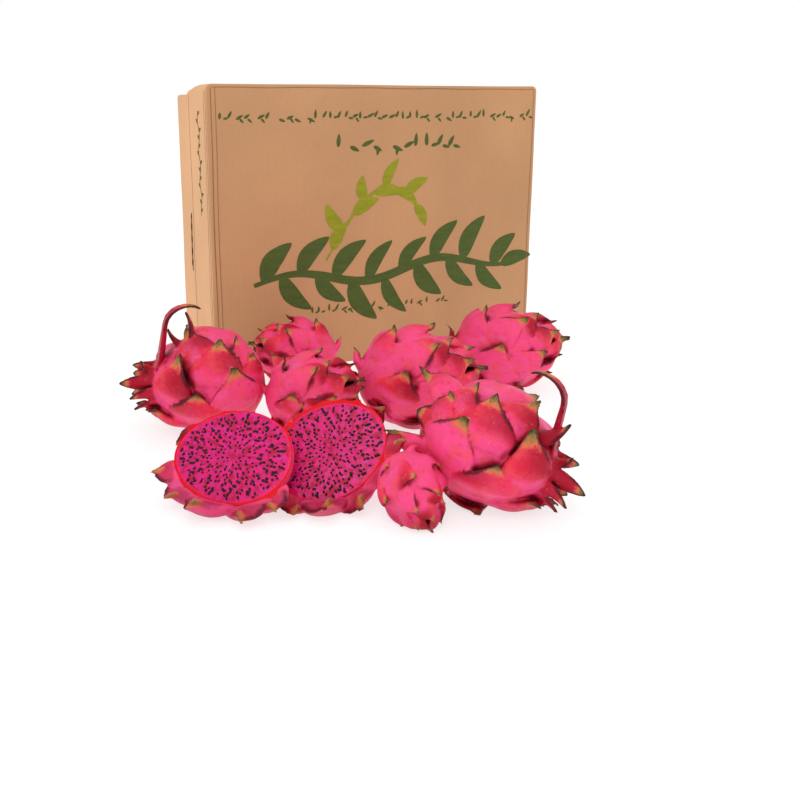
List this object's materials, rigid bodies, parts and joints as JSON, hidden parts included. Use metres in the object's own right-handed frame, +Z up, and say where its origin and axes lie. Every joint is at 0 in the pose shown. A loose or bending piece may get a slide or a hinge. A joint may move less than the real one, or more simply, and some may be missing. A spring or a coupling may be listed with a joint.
{
  "type": "dragon fruit with carton",
  "caption": "Whole and halved dragon fruits with large pink scales and curling green-tipped bracts, laid in front of a closed brown corrugated two-piece carton.",
  "frame": {"origin": "centre of the bounding box on the floor", "axes": "+X across the carton's width, -Y the way the carton's printed panel faces, +Y the longest extent from the front fruit to the carton's back, +Z up"},
  "size_m": [0.5462, 0.6354, 0.329],
  "materials": {
    "board_face": "plain brown corrugated board, matte, printed in dark green",
    "board_side": "lighter brown corrugated board, matte",
    "skin": "smooth waxy pink skin, scales with olive to dark brown tips",
    "flesh": "moist magenta flesh full of small black seeds, with a thin bright red peel round the back"
  },
  "bodies": {
    "root": {"carton_lid": "board_face", "carton_tray": "board_side", "fruit_left": "skin", "fruit_back_left": "skin", "fruit_centre": "skin", "fruit_centre_right": "skin", "fruit_back_right": "skin", "fruit_right": "skin", "fruit_small": "skin", "half_left": "flesh", "half_right": "flesh"}
  },
  "joints": []
}
